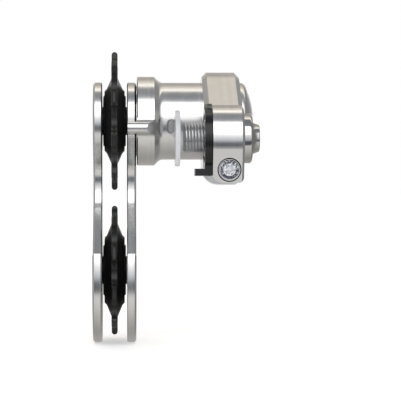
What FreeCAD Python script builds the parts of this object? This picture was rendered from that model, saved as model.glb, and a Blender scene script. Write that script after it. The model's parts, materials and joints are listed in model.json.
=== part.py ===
# Bicycle chain tensioner: bracket, spring housing, swinging cage and two pulleys.
# Millimetres. +X points outboard, away from the wheel. +Y points forward. +Z points up.
# The origin is on the mounting bolt's axis, in the hanger face of the stop washer.
import FreeCAD
import Part
import math
import os

V = FreeCAD.Vector

# Chain and pulleys
chain_pitch = 12.7
pulley_teeth = 10
roller_seat_radius = 4.1
tooth_thickness = 1.8
tooth_tip_width = 2.4
upper_tip_radius = 23.3
lower_tip_radius = 21.8
upper_cone_radius = 14.4
lower_cone_radius = 15.7
upper_hub_radius = 10.35
lower_hub_radius = 11.3
pulley_hub_width = 6.8
hub_edge_step = 0.75
hub_edge_spread = 0.52

# Pulley bearings and dust caps
bearing_bore_radius = 4.0
bearing_outer_radius = 8.0
bearing_width = 5.0
ring_wall = 1.1
ball_count = 10
ball_radius = 1.19
ball_clearance = 0.04
retainer_wall = 0.9
retainer_back = 1.5
retainer_open_side = 0.75
seal_thickness = 0.3
seal_inset = 0.15
seal_gap = 0.05
cap_radius = 8.6
cap_groove_clearance = 0.2
cap_boss_radius = 4.75
cap_face_width = 7.6
cap_inner_gap = 0.25

# Cage
pulley_spacing = 50.4
plate_gap = 8.3
inner_plate_thickness = 3.0
outer_plate_thickness = 3.1
plate_outer_chamfer = 0.6
plate_inner_chamfer = 0.35
lobe_inset = 1.95
guard_radius = 24.4
ledge_height = 6.5
ledge_depth = 6.85
rear_waist_radius = 11.5
rear_waist_gap = 1.26
rear_waist_angle = 238.5
front_waist_radius = 16.0
front_waist_gap = 0.69
front_waist_angle = 49.8
nose_radius = 1.1

# Cage screws and lower axle
axle_screw_radius = 2.5
screw_hole_clearance = 0.15
countersink_radius = 4.8
countersink_inset = 0.1
axle_screw_key = 3.0
axle_screw_key_depth = 2.2
axle_screw_reach = 11.0
thread_clearance = 0.02
thread_run_out = 0.6

# Pivot spindle and its bushings
spindle_radius = 4.0
running_clearance = 0.03
bushing_wall = 1.5
bushing_flange_radius = 7.0
bushing_flange_thickness = 1.0
bushing_flange_stand = 0.15
spindle_end_inset = 0.6
snap_ring_thickness = 1.0
snap_ring_depth = 0.6
snap_ring_height = 2.4
snap_ring_mouth = 3.6
snap_ring_play = 0.1

# Spring housing
cage_gap = 0.25
thrust_washer_thickness = 0.2
thrust_washer_radius = 11.9
flange_width = 5.8
flange_radius = 15.0
neck_radius = 13.0
cone_fillet = 2.2
housing_wall = 2.2
web_thickness = 8.8
small_edge = 0.3
cap_spigot_depth = 3.0
cap_spigot_clearance = 0.01
cap_rim_width = 0.1
cap_rim_round = 2.0
cap_dome_radius = 28.0
cap_boss_depth = 5.4
neck_past_bracket = 0.5
rib_radius = 2.1
rib_centre_stand = 0.4
rib_angle = 190.0
rib_overhang = 0.25
rib_foot_fillet = 1.5
nose_gap = 0.1
nose_contact_angle = 40.0

# Spring and driver
spring_wire_radius = 0.9
spring_side_gap = 1.7
spring_turns = 6.25
spring_end_gap = 0.3
spring_bend_swell = 0.05
slot_from_cone = 3.5
slot_length = 4.5
slot_clearance = 0.05
slot_bevel = 0.45
spring_tang_inset = 0.25
driver_side_gap = 0.5
driver_thickness = 3.5
driver_flat_width = 6.4
driver_clearance = 0.02

# Mounting bolt, stop washer and thread protector
bolt_thread_radius = 4.95
bolt_thread_length = 6.9
bolt_end_chamfer = 0.7
bolt_shank_radius = 6.0
bolt_flange_radius = 8.1
bolt_flange_width = 2.85
bolt_flange_round = 1.0
bolt_head_radius = 5.15
bolt_head_end_radius = 4.45
bolt_head_height = 2.4
bolt_key = 5.0
bolt_key_depth = 4.6
bolt_side_play = 0.05
washer_thickness = 2.4
washer_radius = 9.7
washer_bore_clearance = 0.15
bolt_bore_clearance = 0.05
washer_ring_pocket = 0.3
ear_reach = 12.2
ear_width = 8.0
tab_length = 3.1
tab_thickness = 2.3
protector_disc_radius = 9.1
protector_disc_width = 1.6
protector_wall = 1.0
protector_end_wall = 2.3
protector_clearance = 0.05
protector_end_gap = 0.3
protector_start = 0.1

# Bracket
swing_forward = 24.0
swing_up = 6.4
pulley_offset = 29.2
bracket_inset = 0.1
bracket_width = 12.5
clamp_ring_wall = 3.45
clamp_clearance = 0.05
boss_radius = 10.8
boss_step = 1.0
link_chamfer = 1.5
front_chamfer = 0.7
recess_radius = 11.2
recess_tab_reach = 9.6
front_plane_angle = 20.0
near_lug_drop = 14.5
far_lug_drop = 15.1
far_lug_reach = 4.5
near_lug_round = 3.6
far_lug_round = 6.0
outer_lug_round = 1.8
slit_width = 1.2
slit_behind_swing_axis = 6.0
clamp_screw_radius = 2.0
clamp_screw_drop = 10.3
clamp_screw_from_left = 7.7
clamp_head_radius = 3.45
clamp_head_height = 4.0
clamp_head_stand = 0.3
clamp_head_clearance = 0.3
clamp_hole_clearance = 0.2
clamp_key_radius = 1.95
clamp_key_lobe = 0.62
clamp_key_lobes = 6
clamp_key_depth = 2.0

# Places that follow from the sizes above, seen from the pulleys' middle plane along X
plate_face = plate_gap / 2
outer_plate_face = plate_face + outer_plate_thickness
flange_face = outer_plate_face + cage_gap
lobe_radius = flange_radius - lobe_inset
rib_centre_radius = flange_radius + rib_centre_stand
cone_start = flange_face + flange_width
cone_end = cone_start + flange_radius - neck_radius
chamber_start = flange_face + web_thickness
bracket_outer_face = bracket_inset + bracket_width
neck_end = pulley_offset + bracket_outer_face + neck_past_bracket
chamber_radius = neck_radius - housing_wall
spring_coil_radius = chamber_radius - spring_side_gap - spring_wire_radius
driver_radius = chamber_radius - driver_side_gap
bushing_radius = spindle_radius + bushing_wall
slot_x = cone_end + slot_from_cone
outer_bushing_start = neck_end - cap_boss_depth
spindle_ring_x = chamber_start + snap_ring_play
recess_floor = washer_thickness + bracket_inset
ring_pocket_depth = snap_ring_thickness + washer_ring_pocket + 2 * snap_ring_play
bolt_ring_x = ring_pocket_depth - snap_ring_play - snap_ring_thickness
bolt_ring_radius = bolt_shank_radius - snap_ring_depth + thread_clearance + snap_ring_height
clamp_screw_x = bracket_inset + clamp_screw_from_left
pitch_radius = chain_pitch / 2 / math.sin(math.pi / pulley_teeth)
rib_centre = V(0, rib_centre_radius * math.cos(math.radians(rib_angle)),
               rib_centre_radius * math.sin(math.radians(rib_angle)))

# Degrees in one turn
full_turn = 360

# Two edges closer than this lie in one plane
same_place = 1e-6

# How far a cut runs on past the face that it opens
cut_past = 1.0

# Where the groups of pieces stand in the object's frame
swing_place = V(-pulley_offset, swing_forward, swing_up)
lower_place = swing_place + V(0, 0, -pulley_spacing)


def turned(points):
    """A solid turned about the X axis from (x, radius) points."""
    wire = Part.makePolygon([V(x, r, 0) for x, r in points + points[:1]])
    return Part.Face(wire).revolve(V(0, 0, 0), V(1, 0, 0), full_turn)


def rod(radius, x0, x1, y=0.0, z=0.0):
    """A round bar along X."""
    return Part.makeCylinder(radius, x1 - x0, V(x0, y, z), V(1, 0, 0))


def tube(inner, outer, x0, x1, y=0.0, z=0.0):
    """A round tube along X."""
    return rod(outer, x0, x1, y, z).cut(rod(inner, x0, x1, y, z))


def block(x0, x1, y0, y1, z0, z1):
    """A rectangular block between two corners."""
    return Part.makeBox(x1 - x0, y1 - y0, z1 - z0, V(x0, y0, z0))


def polar(centre, radius, degrees):
    """A point in the YZ plane, the angle counted from +Y towards +Z."""
    a = math.radians(degrees)
    return centre + V(0, radius * math.cos(a), radius * math.sin(a))


def arc(centre, radius, start, end):
    """An arc in the YZ plane from one angle to another."""
    middle = polar(centre, radius, (start + end) / 2)
    return Part.Arc(polar(centre, radius, start), middle, polar(centre, radius, end)).toShape()


def profile_arc(centre, radius, start, end):
    """An arc in the XY plane of a turned profile, the angle counted from +X towards +Y."""
    points = []
    for degrees in (start, (start + end) / 2, end):
        a = math.radians(degrees)
        points.append(centre + V(radius * math.cos(a), radius * math.sin(a), 0))
    return Part.Arc(*points).toShape()


def line(start, end):
    return Part.LineSegment(start, end).toShape()


def angle_of(vector):
    return math.degrees(math.atan2(vector.z, vector.y))


def inner_tangent(centre_1, radius_1, centre_2, radius_2, side):
    """The angle at circle 1 of the straight line that leaves it and enters hollow circle 2."""
    between = centre_2 - centre_1
    turn = math.degrees(math.acos((radius_1 + radius_2) / between.Length))
    return angle_of(between) + side * turn


def prism(edges, x0, x1):
    """A plate along X from edges in the YZ plane."""
    wire = Part.Wire(Part.__sortEdges__(edges))
    face = Part.Face(wire)
    face.translate(V(x0, 0, 0))
    return face.extrude(V(x1 - x0, 0, 0))


def hexagon_bar(across_flats, x0, x1):
    sides = 6
    corner = across_flats / 2 / math.cos(math.pi / sides)
    points = [polar(V(x0, 0, 0), corner, full_turn * i / sides) for i in range(sides + 1)]
    return Part.Face(Part.makePolygon(points)).extrude(V(x1 - x0, 0, 0))


def edges_in_plane(shape, x):
    """The edges of a shape that lie in the plane at x."""
    found = []
    for edge in shape.Edges:
        box = edge.BoundBox
        if abs(box.XMin - x) < same_place and abs(box.XMax - x) < same_place:
            found.append(edge)
    return found


def snap_ring(inner, outer, x0, thickness):
    """An open ring, its mouth upwards."""
    ring = tube(inner, outer, x0, x0 + thickness)
    mouth = block(x0, x0 + thickness, -snap_ring_mouth / 2, snap_ring_mouth / 2, 0, 2 * outer)
    return ring.cut(mouth)


def ring_groove(shaft_radius, ring_x):
    """The groove in a shaft for a snap ring, with half the play on each side of it."""
    start = ring_x - snap_ring_play / 2
    return tube(shaft_radius - snap_ring_depth, 2 * shaft_radius,
                start, start + snap_ring_thickness + snap_ring_play)


def nose_centre():
    """The nose stands off the rib by its gap, a little inside and below it."""
    return polar(rib_centre, rib_radius + nose_radius + nose_gap, -90 + nose_contact_angle)


def plate_edges(with_nose):
    """The outline of a cage plate about the upper axle. The rear waist stands off the lobe round the
    upper axle, and the front waist off the guard round the lower one."""
    upper = V(0, 0, 0)
    lower = V(0, 0, -pulley_spacing)
    rear = polar(upper, lobe_radius + rear_waist_radius + rear_waist_gap, rear_waist_angle)
    front = polar(lower, guard_radius + front_waist_radius + front_waist_gap, front_waist_angle)
    ledge_z = lower.z + ledge_height
    guard_y = -math.sqrt(guard_radius ** 2 - ledge_height ** 2)
    ledge_outer = V(0, guard_y, ledge_z)
    ledge_inner = V(0, guard_y + ledge_depth, ledge_z)
    to_ledge = rear - ledge_inner
    rise = angle_of(to_ledge) + math.degrees(math.acos(rear_waist_radius / to_ledge.Length))
    front_top = inner_tangent(upper, lobe_radius, front, front_waist_radius, 1)
    front_low = inner_tangent(lower, guard_radius, front, front_waist_radius, -1)
    edges = []
    if with_nose:
        nose = nose_centre()
        slope = inner_tangent(nose, nose_radius, rear, rear_waist_radius, -1) + full_turn
        shoulder_z = nose.z + nose_radius
        lobe_end = 180 + math.degrees(math.asin(-shoulder_z / lobe_radius))
        edges.append(line(polar(upper, lobe_radius, lobe_end), V(0, nose.y, shoulder_z)))
        edges.append(arc(nose, nose_radius, 90, slope))
        slope_start = polar(nose, nose_radius, slope)
    else:
        slope = inner_tangent(upper, lobe_radius, rear, rear_waist_radius, -1) + full_turn
        lobe_end = slope
        slope_start = polar(upper, lobe_radius, slope)
    edges.append(arc(upper, lobe_radius, front_top, lobe_end))
    edges.append(line(slope_start, polar(rear, rear_waist_radius, slope - 180)))
    edges.append(arc(rear, rear_waist_radius, slope - 180, rise - 180))
    edges.append(line(polar(rear, rear_waist_radius, rise - 180), ledge_inner))
    edges.append(line(ledge_inner, ledge_outer))
    edges.append(arc(lower, guard_radius, angle_of(ledge_outer - lower), front_low + full_turn))
    waist_low = polar(front, front_waist_radius, front_low + 180)
    waist_top = polar(front, front_waist_radius, front_top + 180)
    edges.append(line(polar(lower, guard_radius, front_low), waist_low))
    edges.append(arc(front, front_waist_radius, front_low + 180, front_top + 180))
    edges.append(line(waist_top, polar(upper, lobe_radius, front_top)))
    return edges


def cage_plate(x0, x1, outer_x, with_nose):
    """A plate with a broad chamfer on its outer face and a small one on its inner face."""
    inner_x = x0 if outer_x == x1 else x1
    plate = prism(plate_edges(with_nose), x0, x1)
    plate = plate.makeChamfer(plate_outer_chamfer, edges_in_plane(plate, outer_x))
    return plate.makeChamfer(plate_inner_chamfer, edges_in_plane(plate, inner_x))


def inner_cage_plate():
    outer_x = -plate_face - inner_plate_thickness
    plate = cage_plate(outer_x, -plate_face, outer_x, False)
    hole = axle_screw_radius + screw_hole_clearance
    sink = countersink_radius + countersink_inset
    cutter = turned([
        (outer_x - cut_past, 0), (outer_x - cut_past, sink), (outer_x, sink),
        (outer_x + sink - hole, hole), (-plate_face + cut_past, hole), (-plate_face + cut_past, 0),
    ])
    plate = plate.cut(cutter)
    cutter.translate(V(0, 0, -pulley_spacing))
    return plate.cut(cutter)


def outer_cage_plate():
    plate = cage_plate(plate_face, outer_plate_face, outer_plate_face, True)
    plate = plate.cut(rod(spindle_radius, plate_face, outer_plate_face))
    thread = axle_screw_radius + thread_clearance
    return plate.cut(rod(thread, plate_face, outer_plate_face, 0, -pulley_spacing))


def axle_screw(end_x):
    """A countersunk screw with a hexagon socket, its head flush in the inner plate."""
    head_x = -plate_face - inner_plate_thickness + countersink_inset
    r = axle_screw_radius
    screw = turned([
        (head_x, 0), (head_x, countersink_radius), (head_x + countersink_radius - r, r),
        (end_x - small_edge, r), (end_x, r - small_edge), (end_x, 0),
    ])
    return screw.cut(hexagon_bar(axle_screw_key, head_x, head_x + axle_screw_key_depth))


def pivot_spindle():
    """Swing axle: carries the upper pulley, passes the outer plate and turns in the housing."""
    end_x = neck_end - small_edge - spindle_end_inset
    spindle = rod(spindle_radius, -plate_face, end_x)
    spindle = spindle.makeChamfer(small_edge, edges_in_plane(spindle, end_x))
    thread = axle_screw_radius + thread_clearance
    depth = axle_screw_reach + thread_run_out
    spindle = spindle.cut(rod(thread, -plate_face, -plate_face + depth))
    spindle = spindle.cut(ring_groove(spindle_radius, spindle_ring_x))
    flats = driver_flats(driver_start(), end_x + cut_past, driver_flat_width)
    return spindle.cut(flats)


def driver_start():
    return outer_bushing_start - driver_thickness - snap_ring_play


def driver_flats(x0, x1, width):
    """The two segments that a pair of flats takes off the spindle's end."""
    reach = 2 * spindle_radius
    above = block(x0, x1, -reach, reach, width / 2, reach)
    below = block(x0, x1, -reach, reach, -reach, -width / 2)
    return above.fuse(below)


def spring_driver():
    """The disc that the spindle turns, with a hole for the spring's outer leg."""
    x0 = driver_start()
    x1 = x0 + driver_thickness
    disc = rod(driver_radius, x0, x1)
    bore = rod(spindle_radius + driver_clearance, x0, x1)
    bore = bore.cut(driver_flats(x0, x1, driver_flat_width + 2 * driver_clearance))
    end_angle = rib_angle + full_turn * (spring_turns % 1)
    leg = polar(polar(V(0, 0, 0), spring_coil_radius, end_angle), spring_bend_half(), end_angle + 90)
    hole = rod(spring_wire_radius + slot_clearance, x0, x1, leg.y, leg.z)
    return disc.cut(bore).cut(hole)


def spring_bend_half():
    """Half the side of the square bends, which just cover the wire's flat ends."""
    return spring_wire_radius + spring_bend_swell


def torsion_spring():
    """A close coil with a flat tang out through the housing's slot and a leg along X into the driver.
    Each bend is a short square block that meets the wire's flat end, so the coil's side stays whole,
    and the wire's section is two half circles, so that side has no seam."""
    height = driver_start() - spring_end_gap - spring_wire_radius - slot_x
    pitch = height / spring_turns
    helix = Part.makeHelix(pitch, height, spring_coil_radius)
    start = V(spring_coil_radius, 0, 0)
    out = V(spring_wire_radius, 0, 0)
    up = V(0, 0, spring_wire_radius)
    section = Part.Wire([
        Part.Arc(start + out, start + up, start - out).toShape(),
        Part.Arc(start - out, start - up, start + out).toShape(),
    ])
    coil = Part.Wire(helix).makePipeShell([section], True, True)
    half = spring_bend_half()
    inner = spring_coil_radius - half
    tang_start = spring_coil_radius + spring_wire_radius + spring_end_gap
    first = block(inner, tang_start + small_edge, -2 * half, 0, -half, half)
    last = block(inner, spring_coil_radius + half, 0, 2 * half, -half, half)
    leg_reach = driver_start() + driver_thickness - small_edge - slot_x - height
    last = last.fuse(Part.makeCylinder(spring_wire_radius, leg_reach, start + V(0, half, 0), V(0, 0, 1)))
    last.rotate(V(0, 0, 0), V(0, 0, 1), full_turn * spring_turns)
    last.translate(V(0, 0, height))
    spring = coil.fuse(first.fuse(spring_tang(tang_start))).fuse(last)
    spring.rotate(V(0, 0, 0), V(0, 0, 1), rib_angle)
    along_x = FreeCAD.Placement(V(slot_x, 0, 0), FreeCAD.Rotation(V(1, 1, 1), 120))
    spring.Placement = along_x * spring.Placement
    return spring


def spring_tang(start):
    """The oval end of the spring that fills the slot, just below the neck's surface, drawn in the
    coil's own frame."""
    r = spring_wire_radius
    half = slot_length / 2 - slot_clearance - r
    a = V(start, -half, r)
    b = V(start, half, r)
    c = V(start, half, -r)
    d = V(start, -half, -r)
    outline = Part.Wire([
        line(a, b), Part.Arc(b, V(start, half + r, 0), c).toShape(),
        line(c, d), Part.Arc(d, V(start, -half - r, 0), a).toShape(),
    ])
    return Part.Face(outline).extrude(V(neck_radius - spring_tang_inset - start, 0, 0))


def housing_shell():
    """The turned housing without its rib, from the flange to the open end of the neck."""
    bore = bushing_radius
    pocket = bushing_flange_thickness - bushing_flange_stand
    shell = turned([
        (flange_face, bushing_flange_radius + small_edge),
        (flange_face, flange_radius - small_edge),
        (flange_face + small_edge, flange_radius),
        (cone_start, flange_radius),
        (cone_end, neck_radius),
        (neck_end, neck_radius),
        (neck_end, chamber_radius),
        (chamber_start, chamber_radius),
        (chamber_start, bore),
        (flange_face + pocket, bore),
        (flange_face + pocket, bushing_flange_radius + small_edge),
    ])
    fillet = min(cone_fillet, 2 * (flange_radius - neck_radius))
    return shell.makeFillet(fillet, edges_in_plane(shell, cone_end))


def stop_rib():
    """The rib on the flange that the cage's nose rests on, cut off by the housing's cone."""
    x0 = plate_face + rib_overhang
    overhang = rod(rib_radius, x0, cone_end, rib_centre.y, rib_centre.z)
    hollow_reach = flange_radius + rib_foot_fillet
    hollow_offset = rib_radius + rib_foot_fillet
    squares = hollow_reach ** 2 + rib_centre_radius ** 2 - hollow_offset ** 2
    spread = math.degrees(math.acos(squares / 2 / hollow_reach / rib_centre_radius))
    fillets = []
    for side in (-1, 1):
        hollow = polar(V(0, 0, 0), hollow_reach, rib_angle + side * spread)
        wedge = prism([
            line(V(0, 0, 0), hollow), line(hollow, rib_centre), line(rib_centre, V(0, 0, 0)),
        ], flange_face, cone_end)
        fillets.append(wedge.cut(rod(rib_foot_fillet, flange_face, cone_end, hollow.y, hollow.z)))
    foot = fillets[0].fuse(fillets[1]).cut(rod(flange_radius - small_edge, flange_face, cone_end))
    reach = 2 * flange_radius
    outside = turned([
        (cone_start + flange_radius - reach, reach), (cone_start + flange_radius, 0),
        (cone_end + reach, 0), (cone_end + reach, reach),
    ])
    return overhang.fuse(foot).cut(outside)


def slot_outline(radius, width, length):
    """An oval across +Y at a distance from the axis, its long side along Z."""
    half = (length - width) / 2
    r = width / 2
    a = V(-r, radius, -half)
    b = V(-r, radius, half)
    c = V(r, radius, half)
    d = V(r, radius, -half)
    return Part.Wire([
        line(a, b), Part.Arc(b, V(0, radius, half + r), c).toShape(),
        line(c, d), Part.Arc(d, V(0, radius, -half - r), a).toShape(),
    ])


def slot_cutter():
    """The slot for the spring's leg and the bevel round its mouth, which runs on outside the neck."""
    width = 2 * (spring_wire_radius + slot_clearance)
    bottom = neck_radius - slot_bevel
    top = neck_radius + slot_bevel
    grown = 2 * (top - bottom)
    straight = Part.makeLoft([
        slot_outline(chamber_radius - slot_length, width, slot_length),
        slot_outline(neck_radius + slot_length, width, slot_length),
    ], True)
    bevel = Part.makeLoft([
        slot_outline(bottom, width, slot_length),
        slot_outline(top, width + grown, slot_length + grown),
    ], True)
    cutter = straight.fuse(bevel)
    cutter.rotate(V(0, 0, 0), V(1, 0, 0), rib_angle)
    cutter.translate(V(slot_x, 0, 0))
    return cutter


def spring_housing():
    return housing_shell().fuse(stop_rib()).cut(slot_cutter()).removeSplitter()


def housing_end_cap():
    """The domed cap: a spigot in the neck, a boss that holds the outer bushing, and a rounding
    that runs smoothly from the neck into the dome."""
    rounding = V(neck_end + cap_rim_width, neck_radius - cap_rim_round, 0)
    to_rounding = cap_dome_radius - cap_rim_round
    dome = V(rounding.x - math.sqrt(to_rounding ** 2 - rounding.y ** 2), 0, 0)
    slope = math.degrees(math.asin(rounding.y / to_rounding))
    top_x = dome.x + cap_dome_radius
    boss = bushing_radius + bushing_wall
    spigot = chamber_radius - cap_spigot_clearance
    start = neck_end - cap_boss_depth
    points = [
        (top_x, 0), (neck_end, 0), (neck_end, bushing_radius), (start, bushing_radius),
        (start, boss), (neck_end - cap_spigot_depth, boss), (neck_end - cap_spigot_depth, spigot),
        (neck_end, spigot), (neck_end, neck_radius), (rounding.x, neck_radius),
    ]
    corners = [V(x, r, 0) for x, r in points]
    edges = [line(a, b) for a, b in zip(corners, corners[1:])]
    edges.append(profile_arc(rounding, cap_rim_round, 90, slope))
    edges.append(profile_arc(dome, cap_dome_radius, slope, 0))
    face = Part.Face(Part.Wire(edges))
    return face.revolve(V(0, 0, 0), V(1, 0, 0), full_turn)


def inner_pivot_bushing():
    bore = spindle_radius + running_clearance
    x0 = flange_face - bushing_flange_stand
    flange = tube(bore, bushing_flange_radius, x0, x0 + bushing_flange_thickness)
    return flange.fuse(tube(bore, bushing_radius, x0, chamber_start - small_edge)).removeSplitter()


def outer_pivot_bushing():
    bore = spindle_radius + running_clearance
    return tube(bore, bushing_radius, outer_bushing_start, neck_end - small_edge)


def thrust_washer():
    inner = bushing_flange_radius + small_edge
    return tube(inner, thrust_washer_radius, flange_face - thrust_washer_thickness, flange_face)


def spindle_retaining_ring():
    inner = spindle_radius - snap_ring_depth + thread_clearance
    return snap_ring(inner, inner + snap_ring_height, spindle_ring_x, snap_ring_thickness)


def roller_gap(tip_radius):
    """The space that a chain roller takes between two teeth, drawn about +Y."""
    half = math.pi / pulley_teeth
    outer = tip_radius + tooth_tip_width
    seat = rod(roller_seat_radius, -tooth_thickness, tooth_thickness, pitch_radius)
    flank = (outer * math.tan(half)) - tooth_tip_width / 2
    points = [V(-tooth_thickness, pitch_radius, -roller_seat_radius), V(-tooth_thickness, outer, -flank),
              V(-tooth_thickness, outer, flank), V(-tooth_thickness, pitch_radius, roller_seat_radius)]
    mouth = Part.Face(Part.makePolygon(points + points[:1])).extrude(V(2 * tooth_thickness, 0, 0))
    return seat.fuse(mouth)


def pulley_wheel(tip_radius, cone_radius, hub_radius):
    """A toothed wheel with a coned hub, a bearing bore and a groove each side for the caps."""
    half_tooth = tooth_thickness / 2
    half_hub = pulley_hub_width / 2
    half_bearing = bearing_width / 2
    groove = cap_radius + cap_groove_clearance
    bore = bearing_outer_radius + thread_clearance
    side = [
        (half_bearing, bore), (half_bearing, groove), (half_hub, groove), (half_hub, hub_radius),
        (half_hub - hub_edge_step, hub_radius + hub_edge_spread), (half_tooth, cone_radius),
        (half_tooth, tip_radius - half_tooth),
    ]
    right = [V(x, r, 0) for x, r in side]
    left = [V(-x, r, 0) for x, r in reversed(side)]
    edges = [line(a, b) for a, b in zip(right, right[1:])]
    edges.append(Part.Arc(right[-1], V(0, tip_radius, 0), left[0]).toShape())
    edges += [line(a, b) for a, b in zip(left, left[1:])]
    edges.append(line(left[-1], right[0]))
    wheel = Part.Face(Part.Wire(edges)).revolve(V(0, 0, 0), V(1, 0, 0), full_turn)
    gaps = []
    for i in range(pulley_teeth):
        gap = roller_gap(tip_radius)
        gap.rotate(V(0, 0, 0), V(1, 0, 0), 90 + (i + 0.5) * full_turn / pulley_teeth)
        gaps.append(gap)
    return wheel.cut(gaps)


def ball_pitch_radius():
    return (bearing_bore_radius + bearing_outer_radius) / 2


def race_groove():
    return Part.makeTorus(ball_pitch_radius(), ball_radius + ball_clearance, V(0, 0, 0), V(1, 0, 0))


def bearing_inner_ring():
    half = bearing_width / 2
    bore = bearing_bore_radius + thread_clearance
    return tube(bore, bearing_bore_radius + ring_wall, -half, half).cut(race_groove())


def bearing_outer_ring():
    half = bearing_width / 2
    return tube(bearing_outer_radius - ring_wall, bearing_outer_radius, -half, half).cut(race_groove())


def bearing_seals():
    """Two rubber seals, held by the outer ring and just clear of the inner one."""
    inner = bearing_bore_radius + ring_wall + seal_gap
    outer = bearing_outer_radius - ring_wall
    end = bearing_width / 2 - seal_inset
    return [tube(inner, outer, end - seal_thickness, end), tube(inner, outer, -end, -end + seal_thickness)]


def bearing_balls():
    balls = []
    for i in range(ball_count):
        place = polar(V(0, 0, 0), ball_pitch_radius(), full_turn * i / ball_count)
        balls.append(Part.makeSphere(ball_radius, place))
    return balls


def bearing_retainer():
    """The ring between the races that keeps the balls apart, open to one side."""
    middle = ball_pitch_radius()
    half = retainer_wall / 2
    ring = tube(middle - half, middle + half, -retainer_back, retainer_open_side)
    pockets = []
    for i in range(ball_count):
        outward = polar(V(0, 0, 0), 1, full_turn * i / ball_count)
        pockets.append(Part.makeCylinder(ball_radius + ball_clearance, 2 * middle, V(0, 0, 0), outward))
    return ring.cut(pockets)


def dust_cap(side):
    """A cap beside the bearing, clamped between the bearing's inner ring and the plate."""
    bore = bearing_bore_radius + thread_clearance
    bearing_face = bearing_width / 2
    disc_x = bearing_face + cap_inner_gap
    foot = bearing_bore_radius + ring_wall - seal_gap
    cap = turned([
        (bearing_face, bore), (bearing_face, foot), (disc_x, foot), (disc_x, cap_radius),
        (cap_face_width / 2 - small_edge, cap_radius), (cap_face_width / 2, cap_radius - small_edge),
        (cap_face_width / 2, cap_boss_radius), (plate_face, cap_boss_radius), (plate_face, bore),
    ])
    if side < 0:
        cap.rotate(V(0, 0, 0), V(0, 0, 1), 180)
    return cap


def lower_axle_sleeve():
    return tube(axle_screw_radius + screw_hole_clearance, bearing_bore_radius, -plate_face, plate_face)


def mounting_bolt():
    """The bolt into the hanger: thread, shoulder, flange and a tapered head with a socket."""
    flange_x = bracket_outer_face + bolt_side_play
    head_x = flange_x + bolt_flange_width
    end_x = head_x + bolt_head_height
    t = bolt_thread_radius
    c = bolt_end_chamfer
    bolt = turned([
        (-bolt_thread_length, 0), (-bolt_thread_length, t - c), (-bolt_thread_length + c, t), (0, t),
        (0, bolt_shank_radius - small_edge), (small_edge, bolt_shank_radius), (flange_x, bolt_shank_radius),
        (flange_x, bolt_flange_radius), (head_x, bolt_flange_radius), (head_x, bolt_head_radius),
        (end_x - small_edge, bolt_head_end_radius), (end_x, bolt_head_end_radius - small_edge), (end_x, 0),
    ])
    head_edges = edges_in_plane(bolt, head_x)
    rim = [e for e in head_edges if e.BoundBox.ZLength > bolt_flange_radius + bolt_head_radius]
    bolt = bolt.makeFillet(bolt_flange_round, rim)
    bolt = bolt.cut(ring_groove(bolt_shank_radius, bolt_ring_x))
    return bolt.cut(hexagon_bar(bolt_key, end_x - bolt_key_depth, end_x))


def bolt_retaining_ring():
    return snap_ring(bolt_ring_radius - snap_ring_height, bolt_ring_radius, bolt_ring_x, snap_ring_thickness)


def stop_washer():
    """The washer with an ear that hangs down and a tab bent towards the hanger's stop."""
    half = ear_width / 2
    disc = rod(washer_radius, 0, washer_thickness)
    ear = block(0, washer_thickness, -half, half, -ear_reach, 0)
    tab = block(-tab_length, 0, -half, half, -ear_reach, -ear_reach + tab_thickness)
    washer = disc.fuse(ear).fuse(tab).removeSplitter()
    bore = rod(bolt_shank_radius + washer_bore_clearance, 0, washer_thickness)
    pocket = rod(bolt_ring_radius + washer_ring_pocket, 0, ring_pocket_depth)
    return washer.cut(bore).cut(pocket)


def thread_protector():
    """A plastic cap with a wide closed end, pushed on the bolt's thread."""
    bore = bolt_thread_radius + protector_clearance
    inner_end = -bolt_thread_length - protector_end_gap
    disc_x = inner_end - protector_end_wall
    sleeve = bore + protector_wall
    disc = protector_disc_radius
    return turned([
        (disc_x, 0), (disc_x, disc - small_edge), (disc_x + small_edge, disc),
        (disc_x + protector_disc_width, disc), (disc_x + protector_disc_width, sleeve),
        (-protector_start, sleeve), (-protector_start, bore), (inner_end, bore), (inner_end, 0),
    ])


def rounded_bar(x0, x1, z0, z1, left_round, right_round, y0, y1):
    """A bar along Y whose two lower edges are rounded."""
    h = math.sqrt(0.5)
    points = [V(x0, y0, z1), V(x0, y0, z0 + left_round), V(x0 + left_round, y0, z0),
              V(x1 - right_round, y0, z0), V(x1, y0, z0 + right_round), V(x1, y0, z1)]
    left = V(x0 + left_round * (1 - h), y0, z0 + left_round * (1 - h))
    right = V(x1 - right_round * (1 - h), y0, z0 + right_round * (1 - h))
    wire = Part.Wire([
        line(points[0], points[1]), Part.Arc(points[1], left, points[2]).toShape(),
        line(points[2], points[3]), Part.Arc(points[3], right, points[4]).toShape(),
        line(points[4], points[5]), line(points[5], points[0]),
    ])
    return Part.Face(wire).extrude(V(0, y1 - y0, 0))


def link_body():
    """The clamp ring and a smaller end round the bolt, joined by flat tangent faces, with a broad
    chamfer. The boss's round front stands a step above it."""
    ring_centre = V(0, swing_forward, swing_up)
    bolt_centre = V(0, 0, 0)
    ring = neck_radius + clamp_clearance + clamp_ring_wall
    link_end = boss_radius - boss_step
    back = bolt_centre - ring_centre
    spread = math.degrees(math.acos((ring - link_end) / back.Length))
    top = angle_of(back) - spread + full_turn
    low = angle_of(back) + spread + full_turn
    edges = [
        line(polar(ring_centre, ring, top), polar(bolt_centre, link_end, top)),
        arc(bolt_centre, link_end, top, low),
        line(polar(bolt_centre, link_end, low), polar(ring_centre, ring, low)),
        arc(ring_centre, ring, low, top + full_turn),
    ]
    link = prism(edges, bracket_inset, bracket_outer_face)
    link = link.makeChamfer(link_chamfer, edges_in_plane(link, bracket_outer_face))
    return link.makeChamfer(link_chamfer, edges_in_plane(link, bracket_inset))


def front_plane_point(z):
    """Where the sloping front face stands at a given height."""
    a = math.radians(front_plane_angle)
    return (-boss_radius - z * math.sin(a)) / math.cos(a)


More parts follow.
